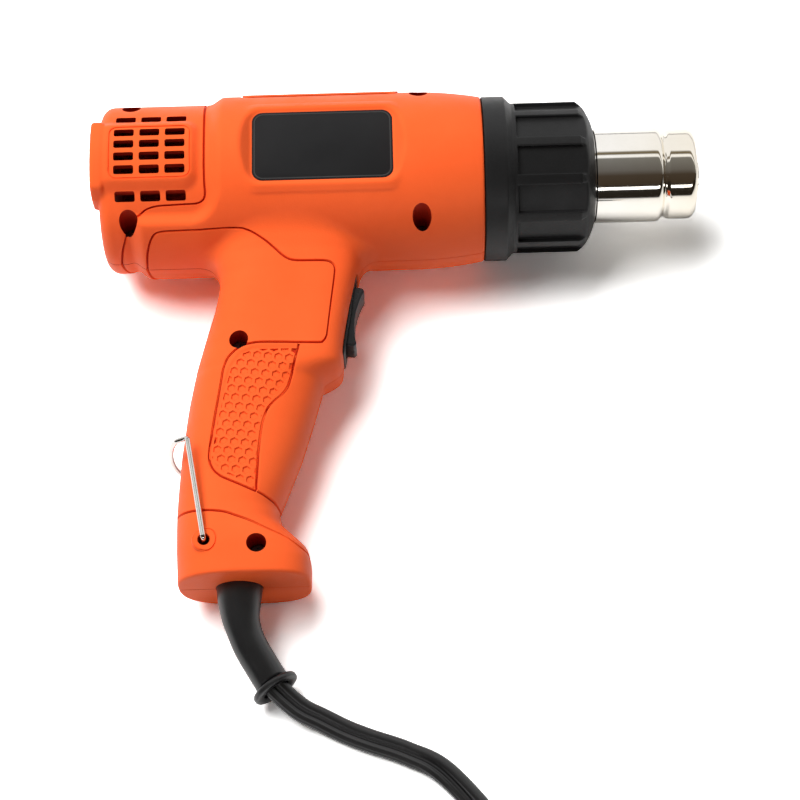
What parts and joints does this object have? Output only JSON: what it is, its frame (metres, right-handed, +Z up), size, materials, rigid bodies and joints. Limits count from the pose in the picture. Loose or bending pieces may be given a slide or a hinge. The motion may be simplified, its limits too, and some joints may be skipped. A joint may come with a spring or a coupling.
{
  "type": "heat gun",
  "caption": "Corded pistol-grip heat gun with a ribbed black collar, a steel nozzle, a rocker switch, intake slots and a wire stand, lying on its side.",
  "frame": {"origin": "on the table under the middle of the gun (cord left out)", "axes": "+X the way the hot air leaves, +Z up off the table, towards the tool's right side as it lies on its left"},
  "size_m": [0.2475, 0.4142, 0.072],
  "materials": {
    "orange_plastic": "satin moulded",
    "black_plastic": "satin moulded",
    "switch_plastic": "semi-gloss",
    "nozzle_steel": "polished",
    "screw_steel": "plated",
    "stand_steel": "bright plated",
    "motor_steel": "plated",
    "heating_wire": "oxidised",
    "mica": "matt",
    "brass": "plain",
    "circuit_board": "coated",
    "cord_rubber": "satin",
    "sleeve_rubber": "matt",
    "tie_plastic": "plain",
    "plug_rubber": "satin"
  },
  "bodies": {
    "gun": {"housing_right": "orange_plastic", "housing_left": "orange_plastic", "housing_screws": "screw_steel", "front_collar": "black_plastic", "nozzle_tube": "nozzle_steel", "nozzle_guard": "nozzle_steel", "mica_sleeve": "mica", "heater_former": "mica", "heater_coil": "heating_wire", "thermal_cutout": "screw_steel", "motor_mount": "black_plastic", "motor_can": "motor_steel", "motor_end_cap": "black_plastic", "motor_bushes": "brass", "rectifier_board": "circuit_board", "switch_body": "switch_plastic", "switch_pin": "screw_steel", "switch_terminals": "brass", "cord_clamp": "black_plastic", "clamp_screws": "screw_steel", "cord_tail": "cord_rubber", "cord_sleeve": "sleeve_rubber", "cord_lead": "cord_rubber", "cord_hank": "cord_rubber", "cord_tie": "tie_plastic", "plug_body": "plug_rubber", "plug_blades": "brass"},
    "rotor": {"motor_armature": "motor_steel", "motor_shaft": "motor_steel", "fan_impeller": "black_plastic"},
    "rocker": {"switch_rocker": "switch_plastic"},
    "stand": {"stand_wire": "stand_steel"}
  },
  "joints": [
    {"name": "fan_spin", "type": "hinge", "parent": "gun", "child": "rotor", "pos_m": [-0.05675, 0.06855, 0.036], "axis": [1, 0, 0], "continuous": true},
    {"name": "switch_rock", "type": "hinge", "parent": "gun", "child": "rocker", "pos_m": [-0.02669, 0.00708, 0.03036], "axis": [0, -0.0913, 0.9958], "range_deg": [-9, 9]},
    {"name": "stand_swing", "type": "hinge", "parent": "gun", "child": "stand", "pos_m": [-0.07675, -0.08948, 0.02151], "axis": [0, -0.0913, 0.9958], "range_deg": [0, 100]}
  ]
}
